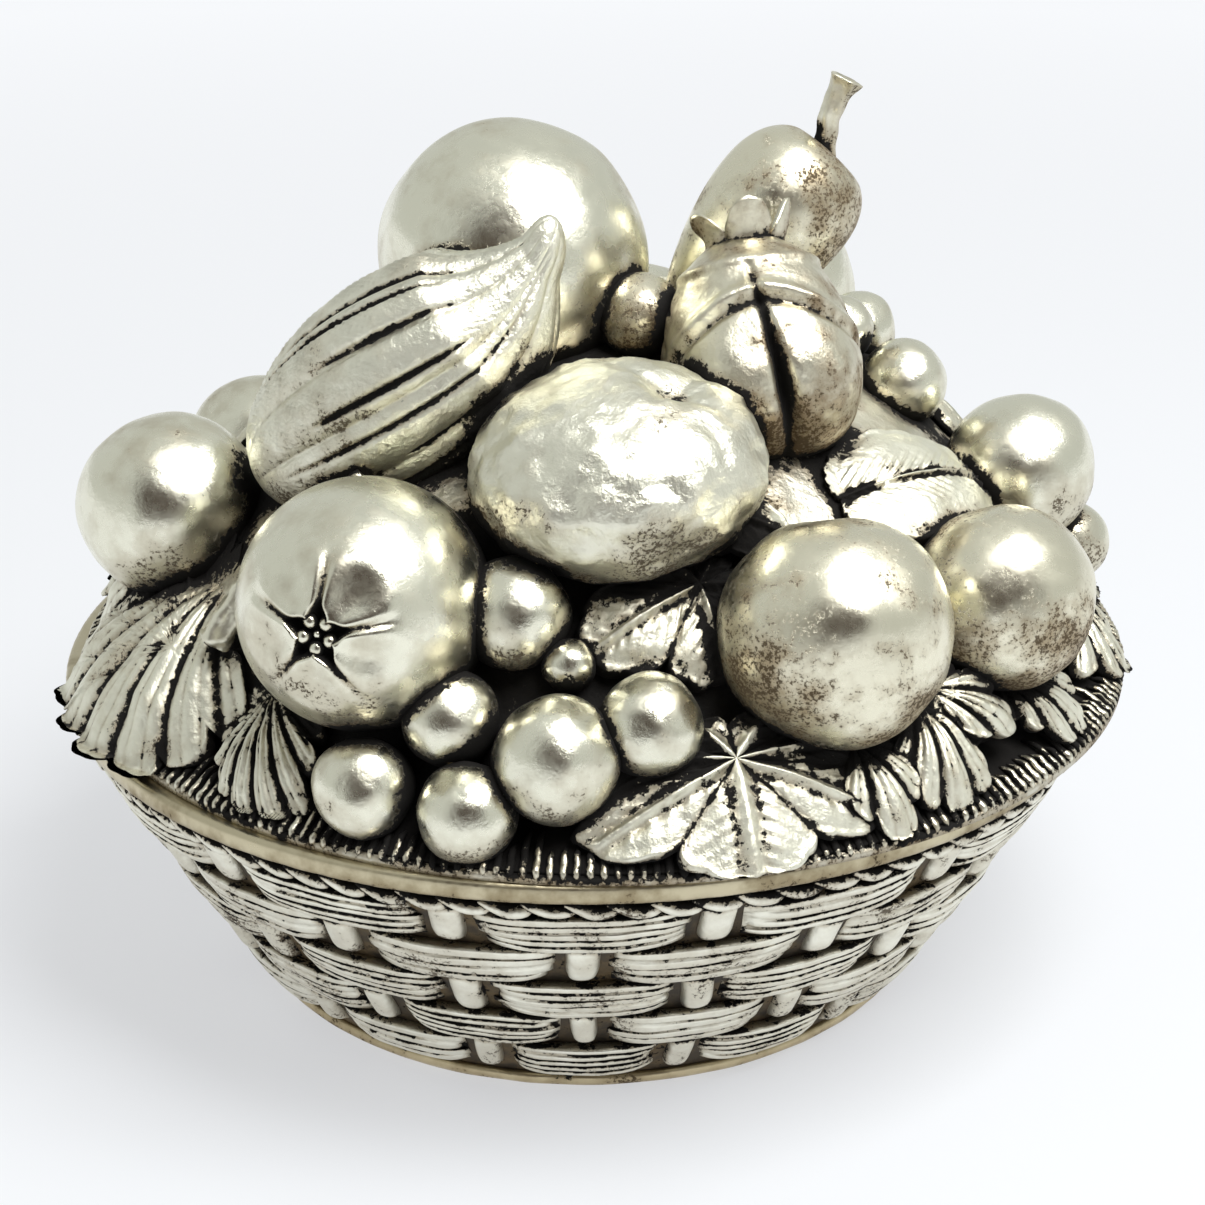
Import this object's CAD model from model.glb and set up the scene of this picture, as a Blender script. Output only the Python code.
"""Round woven basket with a lift-off lid heaped with fruit, grapes and vine leaves, in antiqued silver plate."""
import math
import random
import bmesh
import bpy
import numpy as np
from mathutils import Matrix, Vector, noise
from mathutils.bvhtree import BVHTree


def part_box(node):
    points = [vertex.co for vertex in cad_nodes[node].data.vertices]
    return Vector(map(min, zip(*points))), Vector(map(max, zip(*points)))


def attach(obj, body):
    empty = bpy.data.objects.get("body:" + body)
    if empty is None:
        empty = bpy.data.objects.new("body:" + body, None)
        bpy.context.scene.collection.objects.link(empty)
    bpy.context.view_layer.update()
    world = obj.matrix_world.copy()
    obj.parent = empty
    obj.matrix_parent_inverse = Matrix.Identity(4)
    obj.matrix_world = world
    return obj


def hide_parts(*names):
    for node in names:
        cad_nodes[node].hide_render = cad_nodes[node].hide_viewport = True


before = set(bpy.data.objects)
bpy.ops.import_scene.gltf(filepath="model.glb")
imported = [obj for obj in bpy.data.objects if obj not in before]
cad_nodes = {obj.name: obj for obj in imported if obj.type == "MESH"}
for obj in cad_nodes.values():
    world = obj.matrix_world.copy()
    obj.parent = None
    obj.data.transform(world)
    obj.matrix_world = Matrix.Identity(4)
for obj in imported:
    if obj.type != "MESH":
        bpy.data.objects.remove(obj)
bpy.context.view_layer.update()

# ---- Camera ----
# A little above the lid, looking down across it from the front.
MM = 0.001
camera_data = bpy.data.cameras.new("camera")
camera_data.lens = 75
camera_data.sensor_width = 36
camera = bpy.data.objects.new("camera", camera_data)
bpy.context.collection.objects.link(camera)
camera.location = Vector((2.75, -371.5, 212.4)) * MM
look_at = Vector((2.75, 0, 55.33)) * MM
camera.rotation_euler = (look_at - camera.location).to_track_quat("-Z", "Y").to_euler()
bpy.context.scene.camera = camera


def cad_size(node):
    """The box of a CAD node at rest, in millimetres: lowest corner, highest corner."""
    low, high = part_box(node)
    return low / MM, high / MM


def add_node(tree, kind, inputs=(), **settings):
    """Adds a node. settings are its properties, and inputs pairs a socket with a value or another node's output."""
    node = tree.nodes.new(kind)
    for name, value in settings.items():
        setattr(node, name, value)
    for socket, source in inputs:
        if isinstance(source, bpy.types.NodeSocket):
            tree.links.new(source, node.inputs[socket])
        else:
            node.inputs[socket].default_value = source
    return node


def silver_patina():
    """The worn plating that every piece has: bright metal, brown tarnish, dark specks and black in the hollows."""
    group = bpy.data.node_groups.new("silver_patina", "ShaderNodeTree")
    sockets = (
        ("Silver", "NodeSocketColor", (0.80, 0.78, 0.68, 1)),
        ("Tarnish", "NodeSocketColor", (0.30, 0.22, 0.12, 1)),
        ("Black", "NodeSocketColor", (0.012, 0.011, 0.010, 1)),
        ("Speck Color", "NodeSocketColor", (0.07, 0.045, 0.022, 1)),
        ("Fill", "NodeSocketFloat", 0.5),
        ("Specks", "NodeSocketFloat", 0.4),
        ("Staining", "NodeSocketFloat", 0.4),
        ("Polish", "NodeSocketFloat", 0.25),
        ("Ripple", "NodeSocketFloat", 0.5),
    )
    for name, kind, value in sockets:
        group.interface.new_socket(name, in_out="INPUT", socket_type=kind).default_value = value
    group.interface.new_socket("Color", in_out="OUTPUT", socket_type="NodeSocketColor")
    for name in ("Metallic", "Roughness", "Height"):
        group.interface.new_socket(name, in_out="OUTPUT", socket_type="NodeSocketFloat")
    given = add_node(group, "NodeGroupInput")
    made = add_node(group, "NodeGroupOutput")
    place = add_node(group, "ShaderNodeTexCoord").outputs["Object"]

    def math_node(operation, *sources):
        return add_node(group, "ShaderNodeMath", enumerate(sources), operation=operation).outputs[0]

    def cloud(scale, detail, rough=0.55):
        noise_inputs = [("Vector", place), ("Scale", scale), ("Detail", detail), ("Roughness", rough)]
        return add_node(group, "ShaderNodeTexNoise", noise_inputs).outputs["Fac"]

    def ramp(source, low, high):
        range_inputs = [("Value", source), ("From Min", low), ("From Max", high)]
        return add_node(group, "ShaderNodeMapRange", range_inputs, interpolation_type="SMOOTHSTEP").outputs["Result"]

    def blend(share, first, second):
        mix_inputs = [("Factor", share), (6, first), (7, second)]
        return add_node(group, "ShaderNodeMix", mix_inputs, data_type="RGBA").outputs[2]

    def attribute(name):
        return add_node(group, "ShaderNodeAttribute", attribute_name=name).outputs["Fac"]

    patches = cloud(70, 3)
    ragged = cloud(900, 6, 0.75)
    specks = cloud(1700, 5, 0.75)
    drift = cloud(260, 4, 0.6)
    hollow = attribute("hollow")
    # Black stays where a cloth can't reach, with a ragged edge
    reach = math_node("MULTIPLY_ADD", math_node("SUBTRACT", ragged, 0.5), 1.5, hollow)
    reach = math_node("MULTIPLY_ADD", math_node("SUBTRACT", drift, 0.5), 1.1, reach)
    limit = math_node("SUBTRACT", 0.95, given.outputs["Fill"])
    black = ramp(reach, limit, math_node("ADD", limit, 0.07))
    shade = ramp(math_node("MULTIPLY_ADD", math_node("SUBTRACT", drift, 0.5), 0.5, hollow),
                 math_node("SUBTRACT", limit, 0.36), math_node("ADD", limit, 0.1))
    # Specks come in patches, and mostly on the undersides
    under = attribute("under")
    where = math_node("MULTIPLY_ADD", under, 0.26, math_node("MULTIPLY_ADD", hollow, 0.2, patches))
    where = math_node("MULTIPLY_ADD", math_node("SUBTRACT", drift, 0.5), 0.8, where)
    where = ramp(where, math_node("SUBTRACT", 0.95, math_node("MULTIPLY", given.outputs["Specks"], 0.5)), 1.15)
    dots = ramp(math_node("MULTIPLY_ADD", where, 0.20, specks), 0.58, 0.63)
    dots = math_node("MULTIPLY", dots, ramp(where, 0.0, 0.25))
    stain = math_node("MULTIPLY_ADD", drift, 0.4, math_node("MULTIPLY", patches, 0.6))
    stain = ramp(math_node("MULTIPLY_ADD", under, 0.16, stain), 0.46, 0.68)
    stain = math_node("MULTIPLY", stain, given.outputs["Staining"])
    colour = blend(stain, given.outputs["Silver"], given.outputs["Tarnish"])
    colour = blend(math_node("MULTIPLY", shade, 0.55), colour, given.outputs["Tarnish"])
    colour = blend(math_node("MULTIPLY", dots, 0.85), colour, given.outputs["Speck Color"])
    colour = blend(black, colour, given.outputs["Black"])
    group.links.new(colour, made.inputs["Color"])
    dirt = math_node("MAXIMUM", black, math_node("MULTIPLY", dots, 0.7))
    group.links.new(math_node("MULTIPLY_ADD", dirt, -0.9, 1.0), made.inputs["Metallic"])
    dull = math_node("MULTIPLY_ADD", math_node("SUBTRACT", drift, 0.45), 0.28, given.outputs["Polish"])
    dull = math_node("MULTIPLY_ADD", stain, 0.18, dull)
    dull = math_node("MULTIPLY_ADD", dirt, 0.45, dull)
    group.links.new(dull, made.inputs["Roughness"])
    waves = math_node("MULTIPLY", math_node("MULTIPLY_ADD", ragged, 0.35, math_node("MULTIPLY", drift, 1.6)),
                      given.outputs["Ripple"])
    group.links.new(math_node("MULTIPLY_ADD", dirt, -0.25, waves), made.inputs["Height"])
    return group


patina = silver_patina()


def plated(name, depth=0.00025, **values):
    """A material of its own that uses the shared plating, with values such as Fill or Polish."""
    material = bpy.data.materials.new(name)
    material.use_nodes = True
    tree = material.node_tree
    shader = tree.nodes["Principled BSDF"]
    shader.inputs["Specular IOR Level"].default_value = 0.18
    group = add_node(tree, "ShaderNodeGroup", node_tree=patina)
    for socket, value in values.items():
        group.inputs[socket].default_value = value
    bump_inputs = [("Distance", depth), ("Strength", 0.6), ("Height", group.outputs["Height"])]
    bump = add_node(tree, "ShaderNodeBump", bump_inputs)
    for source, target in (("Color", "Base Color"), ("Metallic", "Metallic"), ("Roughness", "Roughness")):
        tree.links.new(group.outputs[source], shader.inputs[target])
    tree.links.new(bump.outputs["Normal"], shader.inputs["Normal"])
    return material


inside_finish = plated("inside_silver", Silver=(0.78, 0.75, 0.64, 1), Fill=0.28, Specks=0.5, Staining=0.6,
                       Polish=0.34)
shell = cad_nodes["basket_shell"]
black_finish = plated("old_polish", Silver=(0.05, 0.045, 0.04, 1), Fill=0.75, Specks=0.8, Staining=0.6, Polish=0.6)
shell.data.materials.clear()
for finish in (inside_finish, black_finish):
    shell.data.materials.append(finish)
shell_radius = cad_size("basket_shell")[1].x
for face in shell.data.polygons:
    middle = Vector(face.center) / MM
    outward = Vector((middle.x, middle.y, 0)).dot(Vector(face.normal)) > 0
    face.material_index = 1 if outward and face.normal.z < 0.2 and middle.z > 1 else 0

# ---- Foot ring ----
# The narrow band at the foot of the wall, worn to a warm gold line where it meets the table.
base_d = 106
wall_swell = 0.6
wall_top_z = cad_size("basket_shell")[1].z
wall_top_r = shell_radius
foot_high = cad_size("foot_ring")[1].z
foot_out = 1.4
worn_gold = (0.62, 0.53, 0.34, 1)


def wall_r(z):
    """Outside radius of the basket's wall at a height."""
    u = min(1.0, max(0.0, z / wall_top_z))
    return base_d / 2 + (wall_top_r - base_d / 2) * u + wall_swell * 4 * u * (1 - u)


def grid_faces(rows, columns, wrap=True, start=0):
    """The faces of a grid of points, row by row; wrap joins the last column to the first."""
    faces = []
    for i in range(rows - 1):
        for j in range(columns if wrap else columns - 1):
            k = (j + 1) % columns
            a = start + i * columns
            faces.append((a + j, a + k, a + columns + k, a + columns + j))
    return faces


def polar(radius, angle, height):
    """A point at a distance and angle about +Z, at a height."""
    return Vector((radius * math.cos(angle), radius * math.sin(angle), height))


def turned_ring(profile, steps, ripple=None):
    """A closed ring turned about +Z from a closed outline of (radius, height), with a ripple added to the radius."""
    points = []
    for radius, height in profile:
        for j in range(steps):
            angle = 2 * math.pi * j / steps
            points.append(polar(radius + (ripple(radius, height, angle) if ripple else 0), angle, height))
    faces = grid_faces(len(profile), steps)
    last = (len(profile) - 1) * steps
    faces += [(last + j, last + (j + 1) % steps, (j + 1) % steps, j) for j in range(steps)]
    return points, faces


made_pieces = {}


def cast(name, shape, body, slot, material, nodes=()):
    """Makes a piece from points in millimetres, faces and, for some, how black each point is in a carved line."""
    points, faces = shape[:2]
    lines = shape[2] if len(shape) > 2 else None
    mesh = bpy.data.meshes.new(name)
    mesh.from_pydata([Vector(p) * MM for p in points], [], faces)
    mesh.validate()
    return finish_piece(name, mesh, body, slot, material, nodes, lines)


def finish_piece(name, mesh, body, slot, material, nodes=(), lines=None):
    """Smooths a mesh, turns its faces outward and ties the piece to its body, its slot and its nodes."""
    edit = bmesh.new()
    edit.from_mesh(mesh)
    bmesh.ops.recalc_face_normals(edit, faces=edit.faces)
    if edit.calc_volume(signed=True) < 0:
        bmesh.ops.reverse_faces(edit, faces=edit.faces)
    edit.to_mesh(mesh)
    edit.free()
    mesh.shade_smooth()
    if lines is not None:
        mesh.attributes.new("line", "FLOAT", "POINT").data.foreach_set("value", np.asarray(lines, dtype=np.float32))
    mesh.materials.clear()
    mesh.materials.append(material)
    piece = bpy.data.objects.new(name, mesh)
    bpy.context.collection.objects.link(piece)
    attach(piece, body)
    if nodes:
        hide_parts(*nodes)
    made_pieces.setdefault(body, []).append(piece)
    return piece


foot_finish = plated("foot_gold", Silver=worn_gold, Fill=0.42, Specks=0.6, Staining=0.5, Polish=0.32)
foot_profile = [(wall_r(0) - 0.8, 0.02), (wall_r(0) + foot_out - 0.5, 0.02), (wall_r(0.4) + foot_out - 0.1, 0.3),
                (wall_r(1) + foot_out, 0.9), (wall_r(1.5) + foot_out - 0.2, 1.5),
                (wall_r(foot_high) + 0.5, foot_high), (wall_r(foot_high) - 0.8, foot_high)]
foot_shape = turned_ring(foot_profile, 360, lambda r, z, a: 0.18 * noise.noise(polar(9, a, z)))
cast("foot_ring_cast", foot_shape, "basket", "weave_silver", foot_finish, ["foot_ring"])

# ---- Stakes ----
# The uprights that the weave passes over. Each shows as a short smooth block between the ends of two bands.
stake_count = 26
pitch = 2 * math.pi / stake_count
stake_w = 5.5
stake_half = math.asin(stake_w / 2 / wall_top_r)
row_count = 5
rope_d = 3
row_gap = 0.5
weave_top_z = wall_top_z - rope_d - 0.3
weave_low_z = foot_high + 1.2
row_h = (weave_top_z - weave_low_z) / row_count
front = -math.pi / 2


def on_wall(angle, z, out):
    """A point over the wall, at an angle from the front."""
    return polar(wall_r(z) + out, front + angle, z)


def relief(columns, rows, place, depth=-0.4):
    """A raised patch on the wall: place(u, v) gives angle, height and standing-out for u and v from -1 to 1.
    Its back lies inside the wall, so that the patch is closed."""
    front_grid = [place(2 * i / (columns - 1) - 1, 2 * j / (rows - 1) - 1)
                  for i in range(columns) for j in range(rows)]
    points = [on_wall(*p) for p in front_grid]
    faces = grid_faces(columns, rows, wrap=False)
    backs = []
    for i in range(columns):
        low, high = front_grid[i * rows], front_grid[i * rows + rows - 1]
        backs.append((len(points), len(points) + 1))
        points += [on_wall(low[0], low[1], depth), on_wall(high[0], high[1], depth)]
    for i in range(columns - 1):
        a, b = i * rows, (i + 1) * rows
        faces.append((a, backs[i][0], backs[i + 1][0], b))
        faces.append((a + rows - 1, b + rows - 1, backs[i + 1][1], backs[i][1]))
        faces.append((backs[i][0], backs[i][1], backs[i + 1][1], backs[i + 1][0]))
    faces.append(tuple(range(rows)) + (backs[0][1], backs[0][0]))
    end = (columns - 1) * rows
    faces.append(tuple(range(end + rows - 1, end - 1, -1)) + (backs[-1][0], backs[-1][1]))
    return points, faces


def joined(shapes):
    """Several shapes as one, with the number of the shape that each point came from."""
    points, faces, numbers = [], [], []
    for number, (more_points, more_faces) in enumerate(shapes):
        start = len(points)
        points += more_points
        faces += [tuple(start + k for k in face) for face in more_faces]
        numbers += [number] * len(more_points)
    return points, faces, numbers


def row_middle(row):
    """Height of the middle of a woven row, counted from the top."""
    return weave_top_z - (row - 0.5) * row_h


def stake_block(row, rng):
    """The part of a stake that shows in one row, with rounded ends and sides."""
    top = row_middle(row) + row_h / 2 + 0.5
    low = row_middle(row) - row_h / 2 + rng.uniform(0.2, 1.0)
    width = stake_half * rng.uniform(0.92, 1.06)
    proud = rng.uniform(1.7, 2.1)
    lean = rng.uniform(-0.12, 0.12)

    def place(u, v):
        corner = 1 - 0.22 * max(0.0, -v) ** 3
        angle = u * width * corner + lean * v * width
        z = (top + low) / 2 + v * (top - low) / 2 * (1 - 0.06 * u * u)
        rise = max(0.0, 1 - abs(u) ** 2.6) ** 0.5 * max(0.0, 1 - abs(v) ** 5) ** 0.5
        return angle, z, 0.05 + proud * rise * (1 - 0.12 * v)
    return relief(13, 17, place)


def copies_round_axis():
    """Copies of the parts of a mesh, set round +Z, each a little out of true."""
    tree = bpy.data.node_groups.new("copies_round_axis", "GeometryNodeTree")
    sockets = (("Geometry", "Geometry", None), ("Count", "Int", 13), ("Start", "Float", 0.0), ("Kinds", "Int", 2),
               ("In Turn", "Bool", False), ("Warp", "Float", 0.0005), ("Warp Scale", "Float", 70.0),
               ("Seed", "Int", 1), ("Finish", "Material", None))
    for name, kind, value in sockets:
        socket = tree.interface.new_socket(name, in_out="INPUT", socket_type="NodeSocket" + kind)
        if value is not None:
            socket.default_value = value
    tree.interface.new_socket("Geometry", in_out="OUTPUT", socket_type="NodeSocketGeometry")

    def math_node(operation, *sources):
        return add_node(tree, "ShaderNodeMath", enumerate(sources), operation=operation).outputs[0]

    given = add_node(tree, "NodeGroupInput").outputs
    index = add_node(tree, "GeometryNodeInputIndex").outputs["Index"]
    points = add_node(tree, "GeometryNodePoints", [("Count", given["Count"])])
    step = math_node("DIVIDE", 2 * math.pi, given["Count"])
    euler = add_node(tree, "ShaderNodeCombineXYZ", [("Z", math_node("MULTIPLY_ADD", index, step, given["Start"]))])
    rotation = add_node(tree, "FunctionNodeEulerToRotation", [(0, euler.outputs[0])])
    kind_of = add_node(tree, "GeometryNodeInputNamedAttribute", [("Name", "kind")], data_type="INT")
    parts = add_node(tree, "GeometryNodeSplitToInstances", [(0, given["Geometry"])], domain="POINT")
    tree.links.new(kind_of.outputs["Attribute"], parts.inputs["Group ID"])
    chance = add_node(tree, "FunctionNodeRandomValue", data_type="INT")
    chance.inputs[4].default_value = 0
    tree.links.new(math_node("SUBTRACT", given["Kinds"], 1), chance.inputs[5])
    tree.links.new(given["Seed"], chance.inputs["Seed"])
    pick = add_node(tree, "GeometryNodeSwitch", input_type="INT")
    pick_sources = (given["In Turn"], chance.outputs[2], math_node("MODULO", index, given["Kinds"]))
    for socket, source in enumerate(pick_sources):
        tree.links.new(source, pick.inputs[socket])
    copies = add_node(tree, "GeometryNodeInstanceOnPoints", [
        ("Points", points.outputs[0]), ("Instance", parts.outputs["Instances"]), ("Pick Instance", True),
        ("Instance Index", pick.outputs[0]), ("Rotation", rotation.outputs[0])])
    real = add_node(tree, "GeometryNodeRealizeInstances", [(0, copies.outputs[0])])
    clouds = add_node(tree, "ShaderNodeTexNoise", [("Detail", 2), ("Scale", given["Warp Scale"])])
    centred = add_node(tree, "ShaderNodeVectorMath", [(0, clouds.outputs["Color"]), (1, (0.5, 0.5, 0.5))],
                       operation="SUBTRACT")
    shift = add_node(tree, "ShaderNodeVectorMath", [(0, centred.outputs[0]), ("Scale", given["Warp"])],
                     operation="SCALE")
    bent = add_node(tree, "GeometryNodeSetPosition", [("Geometry", real.outputs[0]), ("Offset", shift.outputs[0])])
    finished = add_node(tree, "GeometryNodeSetMaterial",
                        [("Geometry", bent.outputs[0]), ("Material", given["Finish"])])
    add_node(tree, "NodeGroupOutput", [(0, finished.outputs[0])])
    return tree


ring_tree = copies_round_axis()
ring_sockets = {item.name: item.identifier for item in ring_tree.interface.items_tree if item.in_out == "INPUT"}


def ring_of(name, shapes, body, slot, material, nodes, **values):
    """A ring of copies of some shapes, as a piece; values are the tree's own inputs."""
    points, faces, numbers = joined(shapes)
    mesh = bpy.data.meshes.new(name + "_unit")
    mesh.from_pydata([Vector(p) * MM for p in points], [], faces)
    mesh.attributes.new("kind", "INT", "POINT").data.foreach_set("value", numbers)
    unit = bpy.data.objects.new(name + "_unit", mesh)
    bpy.context.collection.objects.link(unit)
    modifier = unit.modifiers.new("ring", "NODES")
    modifier.node_group = ring_tree
    modifier[ring_sockets["Finish"]] = material
    modifier[ring_sockets["Kinds"]] = len(shapes)
    for socket, value in values.items():
        modifier[ring_sockets[socket.replace("_", " ")]] = value
    ready = unit.evaluated_get(bpy.context.evaluated_depsgraph_get())
    ring = bpy.data.meshes.new_from_object(ready)
    bpy.data.objects.remove(unit)
    ring.attributes.remove(ring.attributes["kind"])
    ring.name = name
    return finish_piece(name, ring, body, slot, material, nodes)


weave_finish = plated("weave_silver", Silver=(0.88, 0.87, 0.76, 1), Fill=0.50, Specks=0.55, Staining=0.3,
                      Polish=0.42, Ripple=1.4)
rng = random.Random(26)
stake_shapes = []
for turn in (1, 0):
    blocks = [stake_block(row, rng) for row in range(1, row_count + 1) if row % 2 == turn]
    stake_shapes.append(joined(blocks)[:2])
ring_of("stakes_cast", stake_shapes, "basket", "weave_silver", weave_finish, ["stakes"],
        Count=stake_count, Start=pitch, In_Turn=True, Warp=0.0006, Warp_Scale=110.0, Seed=3)

# ---- Woven bands ----
# Each band is a bundle of four or five fine rods, cast in relief. It bows out over one stake and narrows at its ends.
band_t = 2.4
band_gap = 1.3


def band(row, strands, rng):
    """One bundle of rods over the stake at the front."""
    middle = row_middle(row)
    half_h = (row_h - row_gap) / 2
    half_w = pitch - stake_half - math.asin(band_gap / wall_r(middle))
    waves = [(rng.uniform(0, 6.3), rng.uniform(0.03, 0.10), rng.uniform(0.85, 1.1)) for _ in range(strands)]
    flat = rng.uniform(0.72, 1.0)
    skew = rng.uniform(-0.3, 0.3)
    frayed = [rng.uniform(-0.08, 0.03) for _ in range(2 * strands)]

    def place(u, v):
        share = (v + 1) / 2 * strands
        rod = min(strands - 1, int(share))
        phase, sway, fat = waves[rod]
        across = 2 * (share - rod) - 1
        narrow = 1 - 0.16 * abs(u) ** 4
        z = middle + v * half_h * narrow + skew * u + sway * half_h * math.sin(2.2 * u + phase) * (1 - v * v)
        bow = (band_t - 1.1) * (1 - abs(u) ** 3.2)
        end = max(0.0, 1 - abs(u) ** 9) ** 0.5
        rod_r = 0.95 * fat * (1 - 0.3 * abs(u) ** 3)
        round_rod = min(flat, max(0.0, 1 - across * across) ** 0.5)
        out = -0.05 + end * (0.35 + bow + rod_r * round_rod * (0.75 + 0.25 * end) - 0.35 * v * v)
        return u * half_w * (1 + frayed[2 * rod + (u > 0)] * u * u), z, out
    return relief(45, strands * 8 + 1, place)


for row in range(1, row_count + 1):
    bands = [band(row, 4 + (kind + row) % 2, rng) for kind in range(5)]
    start_angle = 0.0 if row % 2 else pitch
    ring_of(f"weave_row_{row}_cast", bands, "basket", "weave_silver", weave_finish, [f"weave_row_{row}"],
            Count=stake_count // 2, Start=start_angle, In_Turn=False, Warp=0.0008, Warp_Scale=90.0, Seed=row)

# ---- Rope edge ----
# Under the ledge the rods are twisted into a slanting rope, which shows as a row of comma-shaped lumps.
rope_lumps = 88


def tube(path, radii, sides=12, caps=True):
    """A round rod along points, with its own radius at each."""
    points, faces = [], []
    path = [Vector(p) for p in path]
    side = None
    for i, here in enumerate(path):
        ahead = (path[min(i + 1, len(path) - 1)] - path[max(i - 1, 0)]).normalized()
        side = ahead.orthogonal().normalized() if side is None else (side - ahead * side.dot(ahead)).normalized()
        other = ahead.cross(side)
        for j in range(sides):
            angle = 2 * math.pi * j / sides
            points.append(here + radii[i] * (side * math.cos(angle) + other * math.sin(angle)))
    faces = grid_faces(len(path), sides)
    if caps:
        faces.append(tuple(range(sides - 1, -1, -1)))
        last = (len(path) - 1) * sides
        faces.append(tuple(range(last, last + sides)))
    return points, faces


def smooth_path(knots, steps):
    """A smooth run through knots, which are tuples of equal length."""
    knots = np.array(knots, float)
    padded = np.vstack([2 * knots[0] - knots[1], knots, 2 * knots[-1] - knots[-2]])
    rows = []
    for i in range(steps):
        t = i / (steps - 1) * (len(knots) - 1)
        k = min(int(t), len(knots) - 2)
        t -= k
        a, b, c, d = padded[k:k + 4]
        row = 0.5 * (2 * b + (c - a) * t + (2 * a - 5 * b + 4 * c - d) * t * t + (3 * b - a - 3 * c + d) * t ** 3)
        rows.append(tuple(float(value) for value in row))
    return rows


def rope_lump(rng):
    """A comma: thin where it comes from under the ledge, fat where it turns back up."""
    drop = wall_top_z - 1.5
    size = rng.uniform(0.9, 1.12)
    knots = [(-3.9, 0.9, 0.35), (-2.4, 0.15, 0.75), (-0.2, -0.75, 1.0 * size), (2.0, -0.7, 0.95 * size),
             (3.2, 0.1, 0.6), (3.7, 0.9, 0.3)]
    path, radii = [], []
    for x, z, radius in smooth_path(knots, 15):
        path.append(on_wall(x / wall_top_r, drop + z, 1.15))
        radii.append(max(0.2, radius))
    return tube(path, radii, 10)


ring_of("rim_rope_cast", [rope_lump(rng) for _ in range(5)], "basket", "weave_silver", weave_finish, ["rim_rope"],
        Count=rope_lumps, Start=0.02, In_Turn=False, Warp=0.0006, Warp_Scale=160.0, Seed=8)

# ---- Ledge ----
# The plain turned edge that the lid rests on, brushed upright and gone warm with age.
ledge_low, ledge_high = cad_size("rim_ledge")
ledge_r = ledge_high.x
ledge_in = ledge_r - 4
ledge_finish = plated("ledge_silver", Silver=(0.58, 0.52, 0.36, 1), Tarnish=(0.25, 0.19, 0.10, 1), Fill=0.40,
                      Specks=0.6,
                      Staining=0.75, Polish=0.30)
low, high = ledge_low.z, ledge_high.z


def brushed(radius, height, angle):
    """Fine upright lines on the outer face."""
    if radius < ledge_r - 1.5:
        return 0
    return (0.07 * noise.noise(polar(150, angle, 0))
            + 0.05 * math.sin(rope_lumps * angle) * (1 if height < low + 0.6 else 0))


ledge_profile = [(ledge_in, low), (ledge_r - 0.9, low - 0.1), (ledge_r - 0.35, low + 0.25),
                 (ledge_r - 0.1, low + 0.8), (ledge_r - 0.1, high - 0.7), (ledge_r - 0.35, high - 0.2),
                 (ledge_r - 0.9, high), (ledge_in + 0.4, high), (ledge_in, high - 0.4)]
cast("rim_ledge_cast", turned_ring(ledge_profile, 1080, brushed), "basket", "weave_silver", ledge_finish,
     ["rim_ledge"])

# ---- Lid ----
# One domed casting with a flat edge. The fruit and leaves cover most of it, and what shows between them is rough
# and black.
plate_low, plate_high = cad_size("lid_plate")
border_high = cad_size("lid_border")[1].z
lid_z = plate_low.z
lid_x = (plate_low.x + plate_high.x) / 2
lid_r = (plate_high.x - plate_low.x) / 2
lid_edge_t = 1.2
border_w = 9
border_h = border_high - lid_z
mound_base_r = lid_r - border_w
mound_h = plate_high.z - border_high
mound_r = (mound_base_r ** 2 + mound_h ** 2) / (2 * mound_h)
mound_z = border_h + mound_h - mound_r
mound_t = 1.6
edge_tilt = math.asin(mound_base_r / mound_r)
lid_place = Vector((lid_x, 0, lid_z))


def over_mound(bearing, tilt, lift):
    """A point over the mound, in the lid's own frame, from a bearing and a tilt in degrees."""
    b, t = math.radians(bearing), math.radians(tilt)
    radius = mound_r + lift
    return polar(radius * math.sin(t), b, mound_z + radius * math.cos(t))


def on_lid(shape):
    """Moves a shape from the lid's own frame to its place."""
    return ([p + lid_place for p in shape[0]],) + tuple(shape[1:])


def mound_shell():
    """The dome, its flat edge and its hollow underside, as one closed shell."""
    steps, rings = 300, 64
    points = [Vector((0, 0, mound_z + mound_r))]
    for i in range(1, rings + 1):
        tilt = edge_tilt * i / rings
        for j in range(steps):
            b = 2 * math.pi * j / steps
            way = polar(math.sin(tilt), b, math.cos(tilt))
            rough = (0.55 * noise.fractal(way * mound_r / 7, 0.9, 2.1, 3)
                     + 0.25 * abs(noise.noise(way * mound_r / 2.2)))
            points.append(Vector((0, 0, mound_z)) + way * (mound_r + rough - 0.3))
    inner_r = mound_r - mound_t
    inner_edge = math.acos(-mound_z / inner_r)
    flat_edge = ((mound_base_r, lid_edge_t + 0.6), (lid_r - 0.1, lid_edge_t), (lid_r - 0.1, 0.1), (lid_r - 0.4, 0.0))
    for radius, height in flat_edge:
        points += [polar(radius, 2 * math.pi * j / steps, height) for j in range(steps)]
    inner_rings = 24
    for i in range(inner_rings, 0, -1):
        tilt = inner_edge * i / inner_rings
        for j in range(steps):
            points.append(polar(inner_r * math.sin(tilt), 2 * math.pi * j / steps,
                                mound_z + inner_r * math.cos(tilt)))
    points.append(Vector((0, 0, mound_z + inner_r)))
    rows = rings + 4 + inner_rings
    faces = [(0, 1 + (j + 1) % steps, 1 + j) for j in range(steps)]
    faces += grid_faces(rows, steps, start=1)
    last = 1 + (rows - 1) * steps
    faces += [(last + j, last + (j + 1) % steps, len(points) - 1) for j in range(steps)]
    return points, faces


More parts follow.
